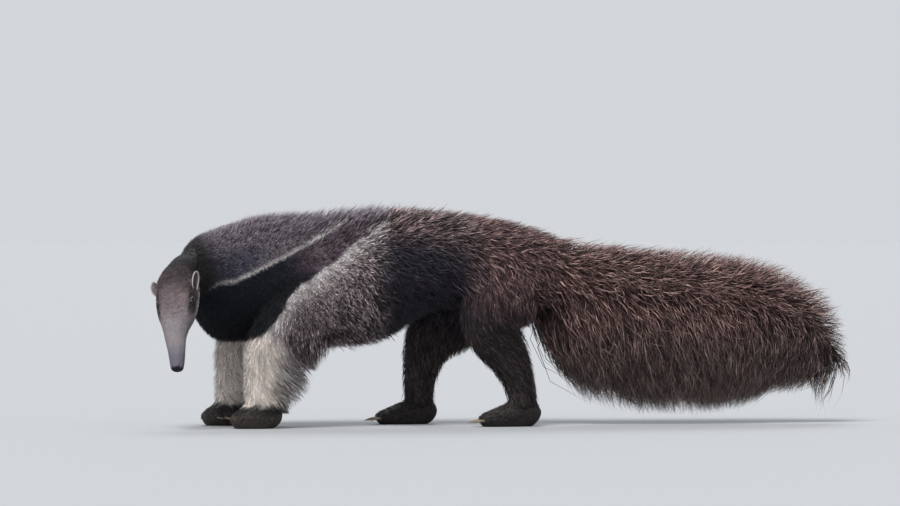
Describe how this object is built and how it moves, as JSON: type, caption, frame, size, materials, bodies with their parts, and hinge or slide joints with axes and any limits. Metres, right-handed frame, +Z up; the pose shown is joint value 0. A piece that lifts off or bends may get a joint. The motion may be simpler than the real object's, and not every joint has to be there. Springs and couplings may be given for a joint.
{
  "type": "giant anteater",
  "caption": "Still life-size giant anteater in mid stride: long tubular head turned down and aside, low crest, bushy tail, clawed feet.",
  "frame": {"origin": "on the floor under the middle of the bounding box", "axes": "-X is the way the animal walks, +X runs along the tail, -Y is its left side, +Z is up"},
  "size_m": [1.9964, 0.4272, 0.6157],
  "materials": {
    "face_fur": "short grey-brown fur on bare-looking skin, near-black nose tip",
    "neck_fur": "short dark fur, grizzled with pale hair tips",
    "body_fur": "coarse grizzled coat with a white-edged black shoulder band and a pale-tipped crest",
    "tail_fur": "very long coarse dark reddish-brown hair with tan highlights",
    "foreleg_fur": "short cream-grey fur with dark bands above the foot",
    "hindleg_fur": "long dark brown hair on the thigh, shorter below",
    "foot_skin": "short black fur over thick callused soles",
    "claw": "worn horn, satin",
    "eye": "wet dark brown, glossy"
  },
  "bodies": {
    "root": {"head": "face_fur", "eye_left": "eye", "ear_left": "face_fur", "eye_right": "eye", "ear_right": "face_fur", "neck": "neck_fur", "torso": "body_fur", "tail": "tail_fur", "upper_arm_left": "foreleg_fur", "forearm_left": "foreleg_fur", "forefoot_left": "foot_skin", "foreclaw_left_1": "claw", "foreclaw_left_2": "claw", "foreclaw_left_3": "claw", "foreclaw_left_4": "claw", "thigh_left": "hindleg_fur", "shank_left": "hindleg_fur", "hindfoot_left": "foot_skin", "hindclaw_left_1": "claw", "hindclaw_left_2": "claw", "hindclaw_left_3": "claw", "hindclaw_left_4": "claw", "hindclaw_left_5": "claw", "upper_arm_right": "foreleg_fur", "forearm_right": "foreleg_fur", "forefoot_right": "foot_skin", "foreclaw_right_1": "claw", "foreclaw_right_2": "claw", "foreclaw_right_3": "claw", "foreclaw_right_4": "claw", "thigh_right": "hindleg_fur", "shank_right": "hindleg_fur", "hindfoot_right": "foot_skin", "hindclaw_right_1": "claw", "hindclaw_right_2": "claw", "hindclaw_right_3": "claw", "hindclaw_right_4": "claw", "hindclaw_right_5": "claw"}
  },
  "joints": []
}
